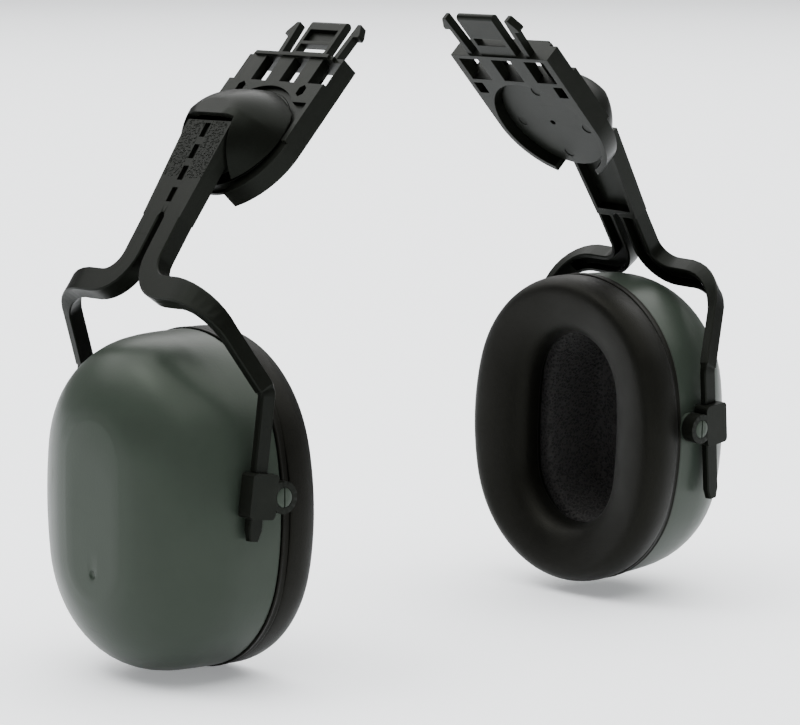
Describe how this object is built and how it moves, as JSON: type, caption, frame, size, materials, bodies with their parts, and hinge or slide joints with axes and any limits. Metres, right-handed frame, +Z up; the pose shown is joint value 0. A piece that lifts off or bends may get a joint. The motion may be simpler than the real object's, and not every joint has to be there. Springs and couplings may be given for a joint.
{
  "type": "cap-mounted earmuff pair",
  "caption": "Ear defender pair that plugs into a safety helmet's side slots: padded oval cups on forked yokes with swivel hubs, tilting arms and height slides.",
  "frame": {"origin": "midway between the two helmet slots, at the root of the plug-in blades", "axes": "+Z up along the head, X across the head from the left cup to the right cup, Y fore and aft with -Y to the front"},
  "size_m": [0.2269, 0.0883, 0.1805],
  "materials": {
    "black_plastic": "fine satin, moulded",
    "grey_plastic": "soft satin with a fine orange peel",
    "cushion_skin": "soft black-brown vinyl, fine grain",
    "foam": "open-cell foam",
    "steel": "plain wire and pin"
  },
  "bodies": {
    "adapters": {"left_adapter": "black_plastic", "right_adapter": "black_plastic"},
    "left_hub": {"left_hub_base": "black_plastic", "left_cradle_pin": "steel", "left_return_spring": "steel"},
    "left_cradle": {"left_arm_cradle": "black_plastic", "left_hub_cover": "black_plastic"},
    "left_yoke": {"left_yoke": "black_plastic"},
    "left_clip_front": {"left_clip_front": "black_plastic"},
    "left_clip_rear": {"left_clip_rear": "black_plastic"},
    "left_cup": {"left_cup_shell": "grey_plastic", "left_backplate": "black_plastic", "left_foam_insert": "foam", "left_cushion_foam": "foam", "left_cushion_cover": "cushion_skin"},
    "right_hub": {"right_hub_base": "black_plastic", "right_cradle_pin": "steel", "right_return_spring": "steel"},
    "right_cradle": {"right_arm_cradle": "black_plastic", "right_hub_cover": "black_plastic"},
    "right_yoke": {"right_yoke": "black_plastic"},
    "right_clip_front": {"right_clip_front": "black_plastic"},
    "right_clip_rear": {"right_clip_rear": "black_plastic"},
    "right_cup": {"right_cup_shell": "grey_plastic", "right_backplate": "black_plastic", "right_foam_insert": "foam", "right_cushion_foam": "foam", "right_cushion_cover": "cushion_skin"}
  },
  "joints": [
    {"name": "left_hub_swivel", "type": "hinge", "parent": "adapters", "child": "left_hub", "pos_m": [-0.0544, 0.0037, -0.02301], "axis": [-0.7314, 0, 0.682], "range_deg": [-26.3, 23.7]},
    {"name": "left_arm_tilt", "type": "hinge", "parent": "left_hub", "child": "left_cradle", "pos_m": [-0.05399, 0.00392, -0.0104], "axis": [-0.0155, 0.9997, -0.0166], "range_deg": [-2.8, 22.2], "stiffness_Nm_per_rad": 0.3, "springref_deg": -17.19, "deforming": ["left_return_spring"]},
    {"name": "left_height_slide", "type": "slide", "parent": "left_cradle", "child": "left_yoke", "axis": [-0.5791, -0.0225, -0.8149], "range_m": [0, 0.012]},
    {"name": "left_clip_front_slide", "type": "slide", "parent": "left_yoke", "child": "left_clip_front", "axis": [0.152, 0.0188, 0.9882], "range_m": [-0.0055, 0.0125]},
    {"name": "left_clip_rear_slide", "type": "slide", "parent": "left_yoke", "child": "left_clip_rear", "axis": [0.152, 0.0188, 0.9882], "range_m": [-0.0055, 0.0125]},
    {"name": "left_cup_pivot", "type": "hinge", "parent": "left_clip_front", "child": "left_cup", "pos_m": [-0.08133, 0.0018, -0.11261], "axis": [0.0155, -0.9997, 0.0166], "range_deg": [-15, 15]},
    {"name": "right_hub_swivel", "type": "hinge", "parent": "adapters", "child": "right_hub", "pos_m": [0.0544, -0.0037, -0.02161], "axis": [0.7314, 0, 0.682], "range_deg": [-28.1, 21.9]},
    {"name": "right_arm_tilt", "type": "hinge", "parent": "right_hub", "child": "right_cradle", "pos_m": [0.054, -0.00421, -0.00901], "axis": [0.0369, -0.9985, -0.0396], "range_deg": [0, 25], "stiffness_Nm_per_rad": 0.3, "springref_deg": -17.19, "deforming": ["right_return_spring"]},
    {"name": "right_height_slide", "type": "slide", "parent": "right_cradle", "child": "right_yoke", "axis": [0.5378, 0.0532, -0.8414], "range_m": [-0.0104, 0.0016]},
    {"name": "right_clip_front_slide", "type": "slide", "parent": "right_yoke", "child": "right_clip_front", "axis": [-0.1029, -0.0432, 0.9938], "range_m": [-0.0169, 0.0011]},
    {"name": "right_clip_rear_slide", "type": "slide", "parent": "right_yoke", "child": "right_clip_rear", "axis": [-0.1029, -0.0432, 0.9938], "range_m": [-0.0169, 0.0011]},
    {"name": "right_cup_pivot", "type": "hinge", "parent": "right_clip_front", "child": "right_cup", "pos_m": [0.08066, 0.00076, -0.10978], "axis": [-0.0369, 0.9985, 0.0396], "range_deg": [-15, 15]}
  ],
  "couplings": [
    {"joint": "left_clip_rear_slide", "follows": "left_clip_front_slide", "ratio": 1},
    {"joint": "right_clip_rear_slide", "follows": "right_clip_front_slide", "ratio": 1}
  ]
}
